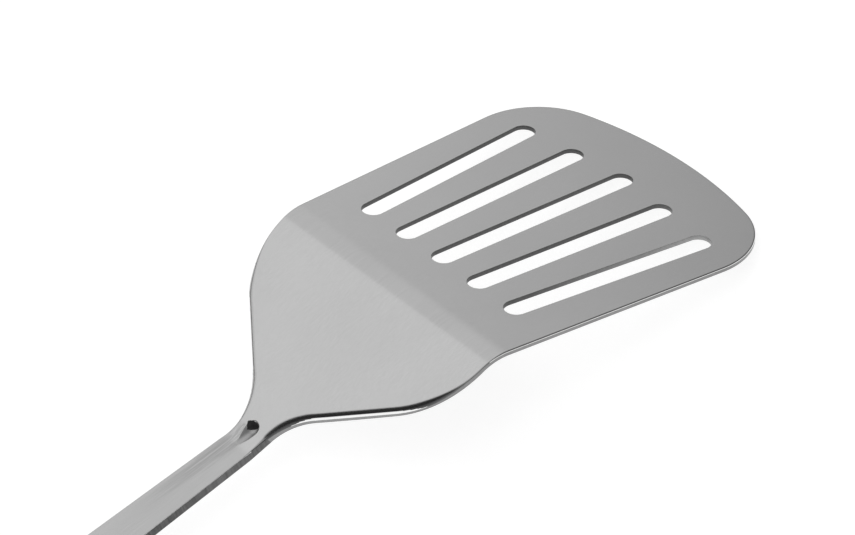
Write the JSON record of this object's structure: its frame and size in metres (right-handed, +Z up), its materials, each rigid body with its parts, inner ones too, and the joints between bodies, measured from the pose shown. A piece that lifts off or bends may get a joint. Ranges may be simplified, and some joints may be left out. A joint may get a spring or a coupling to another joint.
{
  "type": "slotted spatula",
  "caption": "Slotted steel spatula with a broad flared blade, a shoulder drawn into a narrow neck, a full tang and riveted wooden grip scales with a hanging hole.",
  "frame": {"origin": "bottom centre of the whole spatula as it lies back side up, on the tip's food-side edge and the food-side scale", "axes": "+Y along the spatula towards the blade's tip, +Z up, out of the back side, X across the blade"},
  "size_m": [0.0882, 0.3268, 0.0252],
  "materials": {
    "blade_steel": "satin stainless steel, brushed along the shank",
    "walnut": "oiled walnut, grain along the grip",
    "rivet_steel": "ground flush with the scales",
    "tube_steel": "ground flush with the scales"
  },
  "bodies": {
    "root": {"turner_body": "blade_steel", "back_scale": "walnut", "food_scale": "walnut", "front_rivet_sleeve": "rivet_steel", "front_rivet_post": "rivet_steel", "middle_rivet_sleeve": "rivet_steel", "middle_rivet_post": "rivet_steel", "rear_rivet_sleeve": "rivet_steel", "rear_rivet_post": "rivet_steel", "hanging_tube": "tube_steel"}
  },
  "joints": []
}
